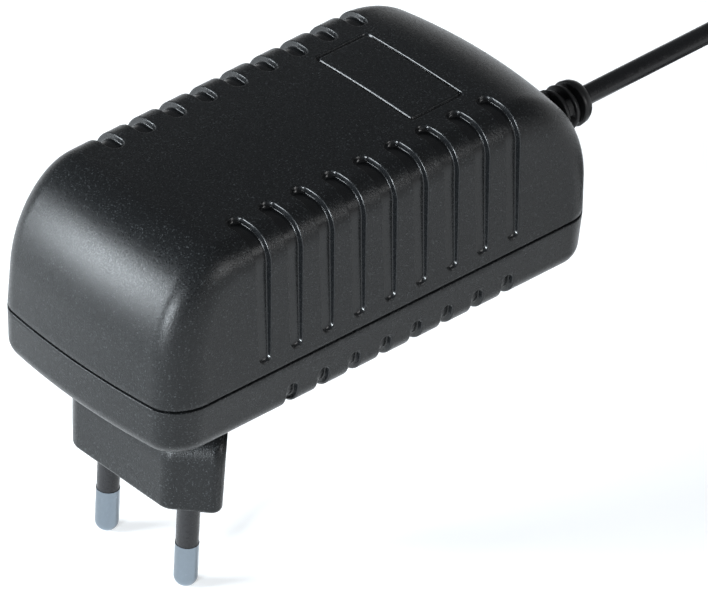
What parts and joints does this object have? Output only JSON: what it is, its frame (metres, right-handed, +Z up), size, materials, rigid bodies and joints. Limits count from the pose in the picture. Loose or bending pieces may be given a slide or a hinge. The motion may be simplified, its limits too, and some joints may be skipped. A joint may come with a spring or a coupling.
{
  "type": "plug-in led driver",
  "caption": "Plug-in mains supply for LED strip: moulded case with grip grooves, two round pins and a coiled DC output lead.",
  "frame": {"origin": "midway between the two mains pins, on the plug's engagement face that meets the socket", "axes": "+X along the case from the plug end towards the output lead, +Z up away from the socket; the pins point along -Z"},
  "size_m": [0.2047, 0.0661, 0.0729],
  "materials": {
    "case_plastic": "black ABS with a fine spark-eroded texture",
    "pin_metal": "satin nickel plate",
    "sleeve_plastic": "smooth black nylon",
    "copper": "enamelled copper wire",
    "board": "green glass-fibre board",
    "component_brown": "moulded plastic",
    "component_blue": "epoxy dip",
    "component_yellow": "polyester tape and box film capacitor",
    "component_black": "moulded epoxy and shrink sleeve",
    "component_green": "dark green shrink sleeve",
    "component_white": "moulded white plastic",
    "ferrite": "sintered ferrite",
    "heatsink": "stamped aluminium sheet",
    "wire_red": "red PVC insulation",
    "relief_plastic": "moulded soft black PVC",
    "cord_plastic": "glossy black PVC sheath",
    "tie_plastic": "black tie",
    "contact_metal": "gilt spring contact"
  },
  "bodies": {
    "root": {"upper_housing": "case_plastic", "lower_housing": "case_plastic", "mains_pin_near": "pin_metal", "mains_pin_far": "pin_metal", "pin_sleeve_near": "sleeve_plastic", "pin_sleeve_far": "sleeve_plastic", "pin_wire_near": "copper", "pin_wire_far": "copper", "circuit_board": "board", "fuse": "component_brown", "varistor": "component_blue", "x_capacitor": "component_yellow", "choke_core": "ferrite", "choke_winding": "copper", "bridge_rectifier": "component_black", "bulk_capacitor": "component_black", "controller_chip": "component_black", "primary_heatsink": "heatsink", "switching_transistor": "component_black", "transformer_core": "ferrite", "transformer_bobbin": "component_black", "transformer_winding": "component_yellow", "optocoupler": "component_white", "y_capacitor": "component_blue", "secondary_heatsink": "heatsink", "output_diode": "component_black", "output_capacitor_front": "component_green", "output_capacitor_rear": "component_green", "output_choke": "component_brown", "output_wire_plus": "wire_red", "output_wire_minus": "cord_plastic", "strain_relief": "relief_plastic", "output_cord": "cord_plastic", "cord_coil": "cord_plastic", "cord_tie": "tie_plastic", "plug_cord": "cord_plastic", "dc_plug_grip": "relief_plastic", "dc_plug_barrel": "pin_metal", "dc_plug_insulator": "sleeve_plastic", "dc_plug_contact": "contact_metal"}
  },
  "joints": []
}
